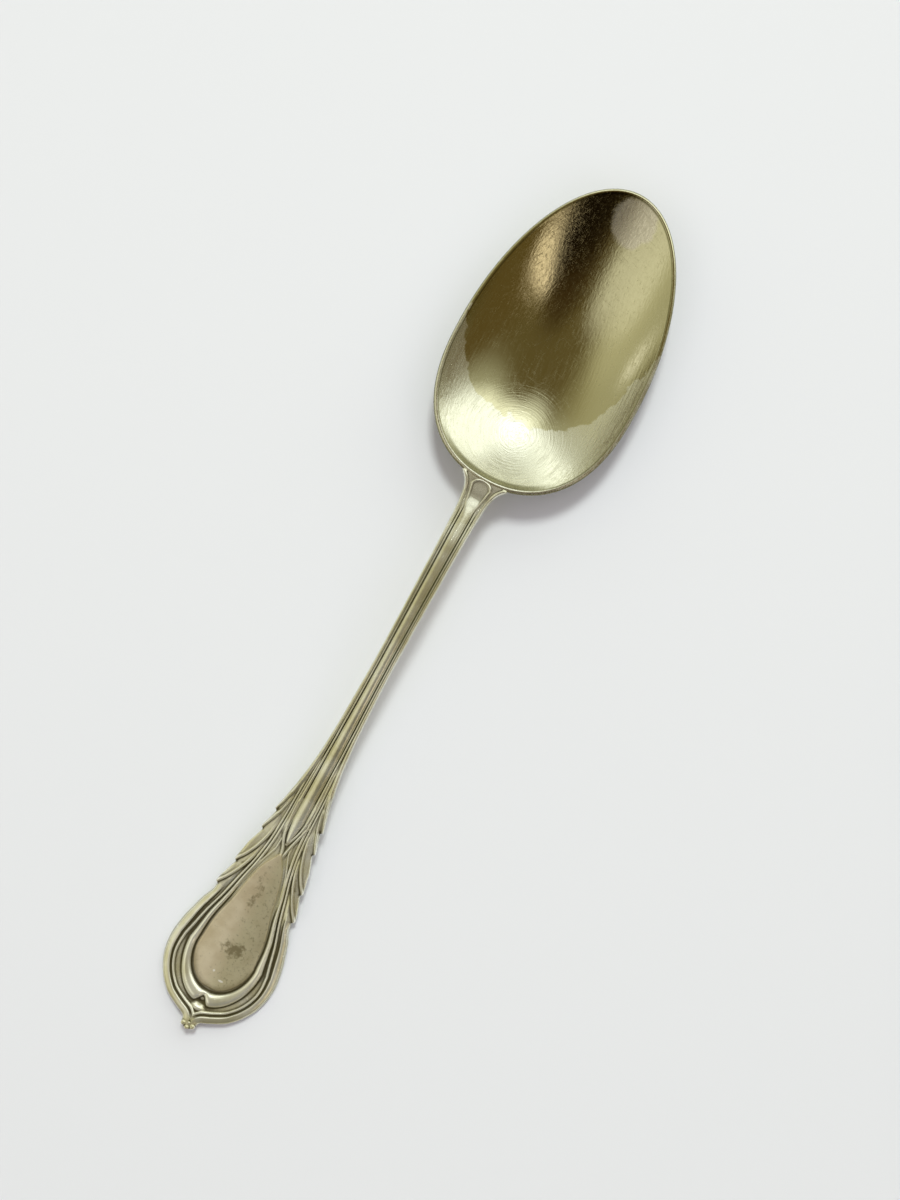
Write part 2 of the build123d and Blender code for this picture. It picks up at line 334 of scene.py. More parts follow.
def leaf_mouldings(x, d):
    """Upper end, d above about 30: running beads, leaf edges and the V of the rib."""
    across = np.abs(x)
    height = np.full(np.shape(x), ground)
    # soft swelling of the leaves between the beads and the outline
    leaf_zone = smooth_step(0, 1.2, across - outer_bead_line(d))
    height += 0.3 * leaf_zone
    for line, reach in ((inner_bead_line, 0.34), (outer_bead_line, 0.3)):
        height = np.maximum(height, ground + 0.36 * bead(across - line(d), reach))
    middle = (inner_bead_line(d) + panel_edge(d)) / 2 + 0.1
    between = bead(across - middle, 0.22) * smooth_step(31, 36, d)
    height = np.maximum(height, ground + 0.2 * between)
    for points in leaf_edges:
        gap, side, along = path_offset(across, d, smooth_path(points))
        strength = smooth_step(0.0, 0.45, along)
        # the terrace is cut down on the inner side, away from the outline
        fall = np.where(side < 0, smooth_step(0.0, 0.6, gap) * np.exp(-gap / 1.1), 0)
        height += strength * (0.34 * hump(gap, 0.5) - 0.36 * fall)
    return height


def stem_reeds(x, d):
    """Reeded section: a half-round rib, a thin reed and an edge bead on each side.

    The edge bead is a share of the half width, so it tapers with the stem. The beads that
    come up from the panel keep to their own lines until they fade.
    """
    across = np.abs(x)
    width = half_width(d)
    share = across / width
    starting = smooth_step(rib_start, rib_start + 4, d)
    rib = np.minimum(1.35 * np.sqrt(np.clip((d - rib_start) / 5.5, 0, 1)), 0.44 * width)
    reed_line = through([46, 50, 57, 64, 72], [2.1, 2.0, 1.9, 1.75, 1.62], d)
    reed_line = np.minimum(reed_line, 0.6 * width)
    tall = smooth_step(47, 62, d)
    height = np.full(np.shape(x), ground - 0.06 - 0.14 * tall)
    height = np.maximum(height, ground + (0.66 + 0.2 * tall) * bead(across, np.maximum(rib, 1e-3)))
    reed = ground - 0.5 * (1 - starting) + 0.34 * bead(across - reed_line, 0.085 * width)
    height = np.maximum(height, reed)
    fading = smooth_step(74, 62, d)
    for line in (inner_bead_line, outer_bead_line):
        beads = ground - 0.1 - 0.5 * (1 - starting) + 0.42 * bead(across - line(d), 0.24)
        height = np.where(fading > 0, np.maximum(height, beads - 0.5 * (1 - fading)), height)
    edge = smooth_step(53, 63, d)
    height = np.maximum(height, ground - 0.4 * (1 - edge) + 0.5 * bead(share - 0.85, 0.17))
    return height


def handle_relief(x, d):
    """Height of the die's pattern above the arch's face at any place on the handle."""
    low = end_mouldings(x, np.minimum(d, 34))
    high = leaf_mouldings(x, d)
    mix = smooth_step(28.5, 33.5, d)
    height = low * (1 - mix) + high * mix
    to_stem = smooth_step(60, 68, d)
    reeds = stem_reeds(x, d)
    # the rib starts in a V, with the crossing tails beside it
    joined = np.maximum(height * (1 - to_stem) + reeds * to_stem, reeds)
    height = np.where(d > rib_start, joined, height)
    for points in cross_tails:
        gap, _, along = path_offset(x, d, smooth_path(points))
        taper = smooth_step(0, 0.12, along) * (1 - 0.6 * smooth_step(0.8, 1.0, along))
        tail = ground + 0.12 + 0.36 * hump(gap, 0.42) * taper
        height = np.where(gap < 0.42, np.maximum(height, tail), height)
    return height


# %% [markdown]
# ## The neck
#
# Where the stem meets the bowl, the rib widens into a small dished cap with an arched lip,
# and the edge beads spread out, with a dark three-cornered hollow on each side. It is the
# same kind of drawing, faded into the reeds.


# %% Heights of the neck
def neck_pattern(x, d):
    """Cap, splayed edge beads and hollows between them, for d above the neck's start.

    The cap's sides are a smooth line and its end half an oval; the lip is a hump along them.
    """
    across = np.abs(x)
    arch_centre, arch_half, arch_rise, stretch = heel - 1.5, 2.3, 1.75, 1.31
    widening = through([neck_start, 131, 133.5, arch_centre], [1.25, 1.4, 1.85, 2.25], d)
    closing = arch_half * np.sqrt(np.clip(1 - ((d - arch_centre) / arch_rise) ** 2, 0, 1))
    cap = np.where(d > arch_centre, closing, widening)
    inside = smooth_step(-0.15, 0.15, cap - across)
    dished = 0.1 * (1 - smooth_step(129, 133, d)) - 0.3 * smooth_step(131, 135.5, d)
    round_top = 0.2 * bead(across, np.maximum(cap, 0.01)) * (1 - smooth_step(129, 134, d))
    height = (ground - 0.45) * (1 - inside) + (dished + round_top) * inside
    to_arch = np.hypot(across, (d - arch_centre) * stretch) - arch_half
    lip_gap = np.where(d > arch_centre, to_arch, across - widening)
    lip = hump(lip_gap + 0.1, 0.34) * smooth_step(129, 133, d)
    height = np.maximum(height, -0.1 + 0.24 * lip)
    edge = half_width(d) - 0.45
    rising = smooth_step(133.5, 137, d)
    edge_bead = bead(across - edge, 0.45 + 0.3 * rising)
    height = np.maximum(height, ground + (0.52 + 0.3 * rising) * edge_bead)
    # a low sill closes the recess against the bowl's rim
    height = np.maximum(height, ground - 0.25 + 0.6 * smooth_step(heel - 0.75, heel - 0.1, d))
    thin = across - (cap + edge) / 2
    thin_bead = ground + 0.3 * bead(thin, 0.2) * (1 - smooth_step(130, 134, d))
    height = np.maximum(height, thin_bead)
    return height


# %% [markdown]
# ## The bowl
#
# A press sinks the bowl, so its sections across are nearly arcs of one circle, let down
# until they meet the rim. A sphere scaled to fit would be rounder than the real bowl.

# %% Bowl sizes and its formula
rim_width = 1.0
bowl_depth = 10.0
bowl_wall = 1.3
heel_to_waist = 30.0
heel_bulge, heel_round = 2.5, 2.2
waist = heel + heel_to_waist
rim_waist_height = bowl_depth + bowl_wall - 0.12
inner_half = bowl_half_width - rim_width
section_radius = (inner_half**2 + bowl_depth**2) / (2 * bowl_depth)


def rim_height(d):
    """The rim stands lowest at the widest place and rises as a parabola to heel and tip."""
    heel_rise = (rim_heel_height - rim_waist_height) * ((waist - d) / (waist - heel)) ** 2
    tip_rise = (rim_tip_height - rim_waist_height) * ((d - waist) / (tip - waist)) ** 2
    return rim_waist_height + np.where(d < waist, heel_rise, tip_rise)


def outline_square(d, inset):
    """Square of the outline's half width at d, as a share: a full heel and a half ellipse.

    The heel obeys reach^2.5 + share^2.2 = 1, an ellipse puffed out towards its corners.
    """
    reach = np.abs(waist - d) / (waist - heel - inset)
    inside = 1 - reach**heel_bulge
    at_heel = np.sign(inside) * np.abs(inside) ** (2 / heel_round)
    at_tip = 1 - ((d - waist) / (tip - waist - inset)) ** 2
    return np.where(d < waist, at_heel, at_tip)


def bowl_floor(d):
    """Lowest inside point across the bowl at d."""
    half_squared = inner_half**2 * outline_square(d, rim_width)
    return rim_height(d) - section_radius + np.sqrt(section_radius**2 - half_squared)


def bowl_inside(x, d):
    """Height of the bowl's inside: the floor at d plus the rise of the section's arc at x."""
    return bowl_floor(d) + section_radius - np.sqrt(section_radius**2 - x**2)


def bowl_back(x, d):
    """Height of the bowl's back: an arc about the same centre, thicker by the wall."""
    outer = section_radius + bowl_wall
    return bowl_floor(d) + section_radius - np.sqrt(outer**2 - x**2)


print(f"section radius {section_radius:.2f} mm, floor {float(bowl_floor(np.array(waist))):.2f} mm")

# %% [markdown]
# ## From formula to mesh
#
# A piece is a tube of closed loops: each crosses the face, rounds the edge and comes back
# along the underside. Quads join loop to loop, and one flat face closes each end. The
# attribute `hollow` tells the finish how deep in a hollow each point lies; on the bowl it
# says where grime and painted shade go.


# %% Mesh builder
def new_object(name, data):
    """An object in the scene."""
    made = bpy.data.objects.new(name, data)
    bpy.context.scene.collection.objects.link(made)
    return made


def make_piece(name, vertices, faces, hollow, flat_faces=0):
    """Object from points in millimetres; its last few faces can be flat."""
    mesh = bpy.data.meshes.new(name)
    mesh.from_pydata((vertices * MM).tolist(), [], faces)
    smooth = np.ones(len(faces), bool)
    smooth[len(faces) - flat_faces :] = False
    mesh.polygons.foreach_set("use_smooth", smooth)
    layer = mesh.attributes.new("hollow", "FLOAT", "POINT")
    layer.data.foreach_set("value", hollow.astype(np.float32))
    mesh.validate()
    mesh.update()
    print(f"{name}: {len(mesh.vertices)} points, {len(mesh.polygons)} faces")
    return new_object(name, mesh)


def numbered(rows, places):
    """Index of each point in rows of closed loops, and of the next one round its loop."""
    index = np.arange(rows * places).reshape(rows, places)
    return index, np.roll(index, -1, axis=1)


def mesh_from_loops(name, points, hollow):
    """Object made of rows of closed loops, points[row, place, xyz] in millimetres."""
    index, after = numbered(*points.shape[:2])
    quads = np.stack([index[:-1], after[:-1], after[1:], index[1:]], axis=-1).reshape(-1, 4)
    faces = quads.tolist() + [index[0][::-1].tolist(), index[-1].tolist()]
    return make_piece(name, points.reshape(-1, 3), faces, hollow.ravel(), flat_faces=2)


def place(x, d, z):
    """Row-frame points, in millimetres, from x across, d along and z up."""
    return np.stack(np.broadcast_arrays(x, d + end_y, z), axis=-1)


def hollow_of(height, rows, columns):
    """How far each point lies below its surroundings: the height blurred, less the height."""
    blurred = height.copy()
    for axis, reach in ((0, rows), (1, columns)):
        kernel = np.hanning(2 * reach + 3)[1:-1]
        kernel /= kernel.sum()
        pad = [(reach, reach) if a == axis else (0, 0) for a in (0, 1)]
        padded = np.pad(blurred, pad, mode="edge")
        here = np.arange(blurred.shape[axis])
        blurred = sum(w * np.take(padded, here + k, axis=axis) for k, w in enumerate(kernel))
    return blurred - height


# %% [markdown]
# ## The handle's two long pieces
#
# The handle end and the stem use the same formula, so they meet without a step. The edge
# of the face is rounded by wear, and the back is plain.


# %% Handle surfaces
def handle_loops(d_values, columns, relief):
    """Loops of the handle: the face with its relief, a rounded edge and a crowned back.

    The face is arch + relief, less most of a quarter circle near the edge. The back is the
    lower arch, raised towards the edges as |w|^6 on the plate and |w|^2.4 on the stem.
    """
    d = d_values[:, None]
    width = np.maximum(half_width(d), 0.02)
    u = np.linspace(-1, 1, columns)
    x = u * full_width(d) - np.sign(u) * smooth_step(0.6, 1, np.abs(u)) * tooth_cut(d)
    x = np.clip(x, -width, width)
    height = relief(x, d)
    round_edge = np.minimum(0.55, width * 0.8)
    into = np.clip(np.abs(x) - (width - round_edge), 0, round_edge)
    drop = round_edge - np.sqrt(np.clip(round_edge**2 - into**2, 0, None))
    face_z = arch_face(d) + height - drop * 0.8
    slim = smooth_step(52, 66, d)
    side_columns, back_columns = 6, 44
    v = np.linspace(0, 1, side_columns + 2)[1:-1]
    edge_top = face_z[:, -1:]
    back_lift = 0.35 + 0.95 * slim
    edge_low = np.minimum(arch_back(d) + back_lift, edge_top - 0.05)
    side_z = edge_top + (edge_low - edge_top) * v
    side_x = width * (1 + 0.012 * np.sin(np.pi * v))
    w = np.cos(np.linspace(0, np.pi, back_columns))
    back_z = arch_back(d) + (edge_low - arch_back(d)) * np.abs(w) ** (6 - 3.6 * slim)
    face, side = place(x, d, face_z), place(side_x, d, side_z)
    other_side = place(-side_x[:, ::-1], d, side_z[:, ::-1])
    loop = np.concatenate([face, side, place(w * width, d, back_z), other_side], axis=1)
    hollow = hollow_of(height, 6, 7)
    rest = np.zeros((len(d_values), loop.shape[1] - columns))
    return loop[:, ::-1], np.concatenate([hollow, rest], axis=1)[:, ::-1]


end_columns, stem_columns = 196, 110
seam = 0.01
round_rows = np.linspace(0.05, 3, 40)[:-1]
end_rows = np.concatenate([[0, seam], round_rows, np.linspace(3, plate_end, 288), [plate_end]])
end_rows[-2] = plate_end - seam
points, hollow = handle_loops(end_rows, end_columns, handle_relief)
handle_end = mesh_from_loops("handle_end", points, hollow)

# %% [markdown]
# ## The stem, the neck and the tongue
#
# On the real spoon they and the bowl are one metal. A boolean would join them here, but it
# leaves ragged triangles. Instead the stem runs on under the bowl as a tongue whose upper
# face lies inside the bowl's wall, so no gap shows.


# %% Stem and neck
def stem_relief(x, d):
    """The reeds, faded into the neck's pattern, which dips before it meets the rim."""
    mix = smooth_step(neck_start - 1, neck_start + 3, d)
    dip = 0.95 * hump(d - 132.8, 12.5) * smooth_step(heel + 0.6, 133.5, d)
    return handle_relief(x, d) * (1 - mix) + neck_pattern(x, d) * mix - dip


shank_rows = np.linspace(plate_end, neck_start, 200)[:-1]
tongue_rows = np.linspace(neck_start, tongue_end, 170)
stem_rows = np.concatenate([[plate_end], shank_rows, tongue_rows])
stem_rows[1] = plate_end + seam
points, hollow = handle_loops(stem_rows, stem_columns, stem_relief)


def tuck_under_bowl(points):
    """Past the heel, the face lies inside the bowl's wall and the back hugs its underside."""
    x, d, z = points[..., 0], points[..., 1] - end_y, points[..., 2]
    safe_x = np.clip(x, -bowl_half_width + 0.2, bowl_half_width - 0.2)
    wall_middle = bowl_back(safe_x, d) + bowl_wall * 0.45
    past = smooth_step(heel - 0.1, heel + 0.9, d)
    is_face = np.zeros(points.shape[1], bool)
    is_face[-stem_columns:] = True
    thinning = (1 - smooth_step(heel + 1, tongue_end, d)) ** 1.3
    tongue_back = bowl_back(safe_x, d) - 1.7 * thinning
    blend = smooth_step(heel - 2.0, heel + 4.0, d)
    low = np.minimum(z, wall_middle) * (1 - blend) + tongue_back * blend
    high = z * (1 - past) + np.minimum(z, wall_middle) * past
    under = np.where(d > heel - 2, np.minimum(low, high), z)
    points[..., 2] = np.where(is_face, high, under)
    return points


points = tuck_under_bowl(points)
reeded_stem = mesh_from_loops("reeded_stem", points, hollow)

# %% [markdown]
# ## The name panel
#
# The teardrop in the handle end is where an owner's initials would be cut. It is gently
# domed and turns down into the dark groove. As a piece of its own it has a clean edge, and
# its matt finish stops exactly there.


# %% Name panel
def panel_loops():
    """Loops of the panel: a shallow dome, 0.45 - 0.55 (x / 7.6)^2, with a rolled-down rim."""
    rows, face_columns, back_columns = 190, 100, 24
    foot = panel_centre - panel_foot
    even = np.linspace(0, 1, rows)
    ease = (1 - np.cos(np.linspace(0, np.pi, rows))) / 2
    d = (foot + (panel_apex - foot) * (0.55 * ease + 0.45 * even))[:, None]
    width = np.maximum(panel_edge(d), 0.03)
    x = np.linspace(-1, 1, face_columns) * width
    ends = np.minimum((d - foot) * 0.9, (panel_apex - d) * 0.35)
    to_edge = np.minimum(width - np.abs(x), np.clip(ends, 0, None))
    roll = 1 - np.sqrt(np.clip(1 - (1 - np.clip(to_edge / 0.55, 0, 1)) ** 2, 0, 1))
    dome = 0.55 * (1 - (x / 7.6) ** 2) - 0.1
    low = ground - 0.35
    z = arch_face(d) + dome + (low - dome) * roll
    back = arch_face(d) + low - 0.12
    w = np.linspace(1, -1, back_columns) * width
    loop = np.concatenate([place(x, d, z), place(w, d, back)], axis=1)
    return loop[:, ::-1]


points = panel_loops()
name_panel = mesh_from_loops("name_panel_face", points, np.zeros(points.shape[:2]))

# %% [markdown]
# ## The bowl's shell
#
# A grid with a Solidify modifier would have a stepped rim. The bowl is swept round its
# middle instead: each spoke runs from the centre of the inside over the rounded rim and
# back under to the centre of the outside, and a fan of triangles closes each pole.


# %% Bowl shell
def bowl_outline_point(angle, inset):
    """The outline at an angle about the middle of the widest place, brought in by inset.

    The distance at which the ray crosses the outline is found by halving.
    """
    side_a, side_b = np.sin(angle), np.cos(angle)
    reach = np.where(side_b < 0, waist - heel, tip - waist) - inset
    half = bowl_half_width - inset
    low, high = np.zeros_like(angle), np.full_like(angle, 60.0)
    for _ in range(40):
        middle = (low + high) / 2
        along = np.abs(middle * side_b) / reach
        at_heel = np.clip(1 - along**heel_bulge, 0, None) ** (1 / heel_round)
        at_tip = np.sqrt(np.clip(1 - along**2, 0, None))
        outside = np.abs(middle * side_a) >= half * np.where(side_b < 0, at_heel, at_tip)
        low, high = np.where(outside, low, middle), np.where(outside, middle, high)
    return low * side_a, waist + low * side_b


def bowl_points(spokes=400, inner_rings=96, outer_rings=44):
    """Spokes of the bowl as rows of loops: inside, rim and back."""
    angle = np.linspace(0, 2 * np.pi, spokes, endpoint=False)
    ix, idist = bowl_outline_point(angle, rim_width)
    ox, odist = bowl_outline_point(angle, 0.0)
    share = np.linspace(0, 1, inner_rings + 1)[1:, None] ** 0.9
    x_in, d_in = ix * share, waist + (idist - waist) * share
    z_in = bowl_inside(x_in, d_in)
    # rim: a soft inner corner, a flat and a rounded outer corner
    turn = np.linspace(0, 1, 9)[1:, None]
    x_rim, d_rim = ix + (ox - ix) * turn, idist + (odist - idist) * turn
    z_rim = rim_height(d_rim) + 0.14 * np.sin(np.pi * turn) - 0.34 * turn**3
    # back: down the rim's edge, then under the bowl to the middle
    share = np.linspace(1, 0, outer_rings + 1)[:-1, None]
    x_out, d_out = ox * share, waist + (odist - waist) * share
    back, rim = bowl_back(x_out, d_out), rim_height(d_out)
    table = 0.0
    z_out = np.maximum(np.minimum(back, rim - 0.62), table)
    z_out = np.where(share > 0.999, np.minimum(back + 0.05, rim - 0.55), z_out)
    rings = [place(x_in, d_in, z_in), place(x_rim, d_rim, z_rim), place(x_out, d_out, z_out)]
    # grime and painted shade lie in the rim's inner corner, widest at the heel, and on its outer
    # side
    heel_share = smooth_step(148, 139, d_in)
    ring_share = (np.arange(inner_rings)[:, None] + 1) / inner_rings
    corner = smooth_step(0.985, 1.0, ring_share)
    band = smooth_step(0.93, 0.97, ring_share)
    inner_grime_and_shade = np.maximum(0.8 * corner, 0.75 * band * heel_share)
    rim_grime_and_shade = np.array([0.6, 0.1, 0, 0, 0, 0.2, 0.8, 1.0])
    outer_grime_and_shade = np.linspace(1.0, 0.3, outer_rings)
    rest = np.repeat(np.concatenate([rim_grime_and_shade, outer_grime_and_shade])[:, None], spokes, axis=1)
    return np.concatenate(rings, axis=0), np.concatenate([inner_grime_and_shade, rest])


def bowl_mesh(name, rings, grime_and_shade):
    """Closed shell from rings of points, with a fan in the middle of each side."""
    count, spokes, _ = rings.shape
    index, after = numbered(count, spokes)
    quads = np.stack([index[:-1], index[1:], after[1:], after[:-1]], axis=-1).reshape(-1, 4)
    middle = np.array(waist)
    centres = [place(0.0, middle, bowl_inside(0.0, middle)), place(0.0, middle, 0.0)]
    vertices = np.concatenate([rings.reshape(-1, 3), np.stack(centres)])
    top, bottom = count * spokes, count * spokes + 1
    fan_in = np.stack([np.full(spokes, top), index[0], after[0]], axis=1)
    fan_out = np.stack([np.full(spokes, bottom), after[-1], index[-1]], axis=1)
    faces = quads.tolist() + fan_in.tolist() + fan_out.tolist()
    return make_piece(name, vertices, faces, np.append(grime_and_shade.ravel(), [0, 0]))


bowl_shell = bowl_mesh("bowl_shell", *bowl_points())

# %% [markdown]
# ## A check on the meshes
#
# Faces that point inwards are slow to find by eye, but a closed mesh has a positive volume
# only when its faces point outwards.

# %% Check that the shells face outwards
for piece in (bowl_shell, handle_end, reeded_stem, name_panel):
    shell = bmesh.new()
    shell.from_mesh(piece.data)
    print(f"{piece.name}: {shell.calc_volume(signed=True) / MM**3:.0f} cubic mm")
    shell.free()

# %% [markdown]
# ## A small language for shader maths
#
# A finish is a sum of masks and noises, hard to read as nodes. So a `Signal` wraps a socket
# and lets Python's operators add the Math nodes.


# %% Shader expressions
class Signal:
    """One output socket; + - * / and ** on signals and numbers add Math nodes."""

    def __init__(self, sheet, socket):
        self.sheet = sheet
        self.socket = socket

    def maths(self, operation, other=0.0):
        """Any two-sided operation of the Math node."""
        return self.sheet.add("ShaderNodeMath", {"operation": operation}, {0: self, 1: other})

    def __add__(self, other):
        return self.maths("ADD", other)

    __radd__ = __add__

    def __mul__(self, other):
        return self.maths("MULTIPLY", other)

    __rmul__ = __mul__

    def __sub__(self, other):
        return self.maths("SUBTRACT", other)

    def __rsub__(self, other):
        return (self * -1.0) + other

    def __truediv__(self, other):
        return self.maths("DIVIDE", other)

    def __rtruediv__(self, other):
        return (self ** -1.0) * other

    def __pow__(self, other):
        return self.maths("POWER", other)

    def ramp(self, low, high):
        """0 below low, 1 above high, smooth between."""
        settings = {"interpolation_type": "SMOOTHSTEP"}
        inputs = {0: self, 1: low, 2: high, 3: 0.0, 4: 1.0}
        return self.sheet.add("ShaderNodeMapRange", settings, inputs)


class Sheet:
    """A node tree with one method that adds a node: its type, settings, then sockets."""

    def __init__(self, tree):
        self.tree = tree

    def add(self, kind, settings=None, inputs=None, output=0):
        """A new node's output; an input is a signal to link or a value to set."""
        node = self.tree.nodes.new(kind)
        for key, value in (settings or {}).items():
            setattr(node, key, value)
        for key, value in (inputs or {}).items():
            if isinstance(value, Signal):
                self.tree.links.new(value.socket, node.inputs[key])
            else:
                node.inputs[key].default_value = value
        return Signal(self, node.outputs[output])

    def mix(self, factor, a, b):
        """Colour a where factor is 0, colour b where it is 1."""
        settings = {"data_type": "RGBA", "clamp_factor": True}
        return self.add("ShaderNodeMix", settings, {0: factor, 6: a, 7: b}, output=2)

    def noise(self, where, scale, detail=3.0, roughness=0.55, distortion=0.0):
        """Cloudy values about 0.5; scale is how many clouds fit in a metre."""
        inputs = {"Vector": where, "Scale": scale, "Detail": detail}
        inputs.update({"Roughness": roughness, "Distortion": distortion})
        return self.add("ShaderNodeTexNoise", {"noise_dimensions": "3D"}, inputs)

    def mapped(self, where, scale, rotation=0.0, shift=(0.0, 0.0, 0.0)):
        """The place turned about Z and stretched, so that a noise becomes streaks."""
        inputs = {"Vector": where, "Location": shift, "Rotation": (0, 0, rotation), "Scale": scale}
        return self.add("ShaderNodeMapping", {"vector_type": "TEXTURE"}, inputs)


def colour(r, g, b):
    """Colour with full alpha."""
    return (r, g, b, 1.0)


# %% [markdown]
# ## The metal
#
# Silver plate over nickel silver is a warm yellowish grey, paler where silver is left.
# Fine hair scratches, cloudy tarnish and dark dirt in the hollows break the shine; the
# hollows are darkened further as painted shade, and worn ridge tops lightened as a painted
# highlight. A painted texture would need an unwrapped surface; masks of noise and hollows
# need none. Metallic stays below 1 where a dull film scatters part of the light.


# %% Metal, scratches and the handle's worn plate
def scratches(sheet, where, turns, length=30.0, scale=2500.0, share=0.58):
    """Hair scratches: thin noises drawn out along several directions, the strongest on top."""
    total = None
    for k, turn in enumerate(turns):
        vector = sheet.mapped(where, (1.0, length, 1.0), rotation=turn, shift=(k * 0.31, 0, 0))
        lines = sheet.noise(vector, scale, detail=2.0).ramp(share, share + 0.14)
        total = lines if total is None else total.maths("MAXIMUM", lines)
    return total


def new_material(name):
    """A metal material, the sheet of its nodes, and its shader."""
    material = bpy.data.materials.new(name)
    material.use_nodes = True
    tree = material.node_tree
    tree.nodes.clear()
    sheet = Sheet(tree)
    output = tree.nodes.new("ShaderNodeOutputMaterial")
    shader = tree.nodes.new("ShaderNodeBsdfPrincipled")
    tree.links.new(shader.outputs[0], output.inputs[0])
    shader.inputs["Metallic"].default_value = 1.0
    return material, sheet, shader


def feed(sheet, shader, tint, film, rough, relief, strength, depth):
    """Link what changes over the surface; relief becomes a bump, its depth in metres."""
    inputs = {"Height": relief, "Strength": strength, "Distance": depth}
    normal = sheet.add("ShaderNodeBump", None, inputs)
    signals = {"Base Color": tint, "Metallic": film, "Roughness": rough, "Normal": normal}
    for key, signal in signals.items():
        sheet.tree.links.new(signal.socket, shader.inputs[key])


def object_place(sheet):
    """Where a point is, in metres, and its x across the spoon and y along it."""
    where = sheet.add("ShaderNodeTexCoord", output=3)
    node = sheet.add("ShaderNodeSeparateXYZ", None, {0: where}).socket.node
    return where, Signal(sheet, node.outputs[0]), Signal(sheet, node.outputs[1])


def hollow_of_surface(sheet):
    """The mesh's own `hollow` attribute."""
    return sheet.add("ShaderNodeAttribute", {"attribute_name": "hollow"}, output=2)


silver = colour(0.88, 0.895, 0.79)
nickel = colour(0.68, 0.66, 0.45)
# dark tarnish; in the handle's hollows it also paints shade
tarnish_and_shade = colour(0.085, 0.07, 0.025)


def handle_finish():
    """Worn plate with tarnish and painted shade in the hollows, and painted highlights on worn
    tops.
    """
    material, sheet, shader = new_material("worn_plate")
    where, _, along = object_place(sheet)
    hollow = hollow_of_surface(sheet)
    cloud = sheet.noise(where, 120.0, detail=5.0)
    speck = sheet.noise(where, 1500.0)
    # tarnish and dirt in the hollows, with painted shade deepening the grooves
    dirt_and_shade = (hollow + (cloud - 0.5) * 0.1 + (speck - 0.5) * 0.05).ramp(-0.01, 0.13)
    hair = scratches(sheet, where, (0.1, 0.9, 2.3))
    tint = sheet.mix(cloud.ramp(0.35, 0.7), nickel, silver)
    tint = sheet.mix(dirt_and_shade * 0.93, tint, tarnish_and_shade)
    # worn ridge tops, lightened further as a painted highlight
    top = (0.0 - hollow + (cloud - 0.5) * 0.1).ramp(0.02, 0.13)
    tint = sheet.mix(top * 0.85, tint, colour(0.95, 0.96, 0.87))
    stem = along.ramp(-0.062, -0.03)
    rough = 0.17 + cloud * 0.1 + hair * 0.05 + dirt_and_shade * 0.2 + (speck - 0.5) * 0.08 - top * 0.05
    film = 0.74 - cloud * 0.12 + dirt_and_shade * 0.15 + stem * 0.1
    relief = hair * 0.25 + speck * 0.5 + cloud * 0.6
    feed(sheet, shader, tint, film, rough, relief, 0.25, 0.00005)
    return material


# %% [markdown]
# Fingers and cloths have taken the panel's shine off. Its stains could be painted, but an
# oval broken up by noise is enough, placed by its centre and reach in metres.


# %% The panel's matt, stained finish
def oval(across, along, centre, reach):
    """1 in the middle of an oval, 0 on its edge and negative outside, in metres."""
    a, b = (across - centre[0]) * (1 / reach[0]), (along - centre[1]) * (1 / reach[1])
    return 1.0 - (a * a + b * b)


def panel_finish():
    """Matt, warm on the left, with painted shade making the right half darker and greener, and
    stained.
    """
    material, sheet, shader = new_material("matt_panel")
    where, across, along = object_place(sheet)
    cloud = sheet.noise(where, 260.0, detail=6.0)
    speck = sheet.noise(where, 1500.0, detail=4.0, roughness=0.7)
    blot = sheet.noise(where, 620.0, detail=6.0, roughness=0.7)
    tint = sheet.mix(cloud.ramp(0.3, 0.7), colour(0.62, 0.54, 0.38), colour(0.76, 0.69, 0.53))
    # painted shade: the right half of the panel darker and greener
    right_side_shade = (across + (cloud - 0.5) * 0.004).ramp(-0.0022, 0.0022)
    tint = sheet.mix(right_side_shade * 0.6, tint, colour(0.5, 0.48, 0.3))
    tint = sheet.mix((speck + right_side_shade * 0.06).ramp(0.6, 0.72) * 0.35, tint, tarnish_and_shade)
    # a smudge low on the right, a speckled streak up the middle, a brown painted shade along the
    # lower edge
    smudge = oval(across, along, (0.0009, -0.0851), (0.0042, 0.0022))
    smudge = (smudge.maths("MAXIMUM", -1.0) * 0.6 + (blot - 0.5) * 3.0).ramp(0.1, 0.7)
    streaked = oval(across, along, (-0.0005, -0.0715), (0.0014, 0.0105))
    streaked = (streaked.maths("MAXIMUM", -1.0) * 0.7 + (blot - 0.5) * 3.4).ramp(0.3, 1.0)
    # painted shade along the panel's lower edge
    edge = 1.0 - oval(across, along, (0.0, -0.087), (0.0071, 0.0082))
    low = 1.0 - along.ramp(-0.0905, -0.0865)
    edge = (edge + (blot - 0.5) * 0.4).ramp(0.62, 1.0) * low
    stain_and_shade = smudge.maths("MAXIMUM", streaked * 0.8).maths("MAXIMUM", edge * 0.8)
    tint = sheet.mix(stain_and_shade * 0.72, tint, colour(0.16, 0.13, 0.055))
    nick = oval(across, along, (0.0017, -0.0925), (0.0007, 0.00028))
    nick = nick.maths("MAXIMUM", oval(across, along, (-0.0007, -0.0911), (0.0003, 0.0003)))
    nick = (nick + (speck - 0.5) * 2.0).ramp(0.0, 0.5)
    tint = sheet.mix(nick * 0.9, tint, colour(0.95, 0.93, 0.88))
    rough = 0.36 + cloud * 0.12
    relief = speck * 0.8 + cloud + stain_and_shade
    film = 0.66 - cloud * 0.12
    feed(sheet, shader, tint, film, rough, relief, 0.3, 0.00007)
    return material


# %% [markdown]
# A smooth shader would make the bowl look new. Its marks follow the work it has done: arcs
# round the heel, long strokes further out, bare yellow metal in the middle and silver left
# along the rim. Masks of distance draw all of these.


